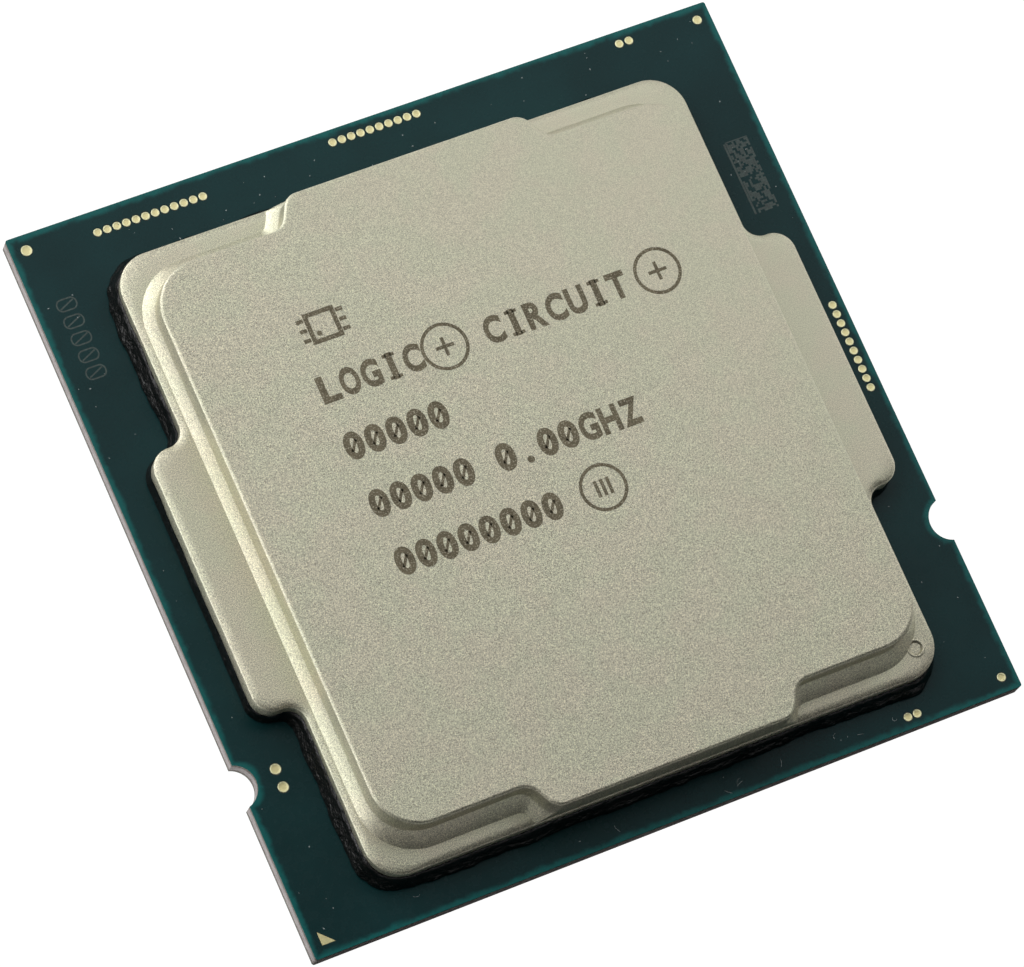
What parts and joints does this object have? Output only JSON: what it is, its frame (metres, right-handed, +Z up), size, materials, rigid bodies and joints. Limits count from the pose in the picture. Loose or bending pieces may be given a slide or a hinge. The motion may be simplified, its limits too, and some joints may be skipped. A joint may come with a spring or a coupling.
{
  "type": "cpu processor",
  "caption": "Square land grid array computer processor: a stepped nickel-plated heat spreader with side ears on a thin dark teal laminate package with gold pads.",
  "frame": {"origin": "middle of the package outline, on the plane that the underside capacitors rest on", "axes": "+Z up out of the lid, +X along the reading direction of the lid's marking, +Y towards the package's rear edge; the pin one corner is at -X, -Y"},
  "size_m": [0.0376, 0.0376, 0.005],
  "materials": {
    "laminate": "matte",
    "copper": "satin",
    "build_up": "matte",
    "solder_mask": "gloss",
    "nickel": "satin",
    "sealant": "gloss",
    "silicon": "polished",
    "solder": "satin",
    "underfill": "satin",
    "gold": "satin",
    "ceramic": "matte"
  },
  "bodies": {
    "root": {"bottom_solder_mask": "solder_mask", "bump_array": "solder", "core_laminate": "laminate", "corner_pad_back_left": "gold", "corner_pad_back_right": "gold", "corner_pad_front_right": "gold", "heat_spreader": "nickel", "land_capacitor_01": "ceramic", "land_capacitor_02": "ceramic", "land_capacitor_03": "ceramic", "land_capacitor_04": "ceramic", "land_capacitor_05": "ceramic", "land_capacitor_06": "ceramic", "land_capacitor_07": "ceramic", "land_capacitor_08": "ceramic", "land_capacitor_09": "ceramic", "land_capacitor_10": "ceramic", "land_capacitor_11": "ceramic", "land_capacitor_12": "ceramic", "land_capacitor_13": "ceramic", "land_capacitor_14": "ceramic", "land_capacitor_15": "ceramic", "land_capacitor_16": "ceramic", "land_capacitor_17": "ceramic", "land_capacitor_18": "ceramic", "land_capacitor_19": "ceramic", "land_capacitor_20": "ceramic", "land_capacitor_21": "ceramic", "land_capacitor_22": "ceramic", "land_capacitor_23": "ceramic", "land_capacitor_24": "ceramic", "land_field_back": "gold", "land_field_front": "gold", "land_field_left": "gold", "land_field_right": "gold", "lid_sealant": "sealant", "lower_build_up": "build_up", "lower_copper_plane": "copper", "pad_column_right": "gold", "pad_row_back_left": "gold", "pad_row_back_middle": "gold", "pin_one_mark": "gold", "silicon_die": "silicon", "test_pad_back_inner": "gold", "test_pad_back_outer": "gold", "test_pad_front_inner": "gold", "test_pad_front_outer": "gold", "test_pad_left_front": "gold", "test_pad_left_rear": "gold", "thermal_solder": "solder", "top_solder_mask": "solder_mask", "underfill": "underfill", "upper_build_up": "build_up", "upper_copper_plane": "copper"}
  },
  "joints": []
}
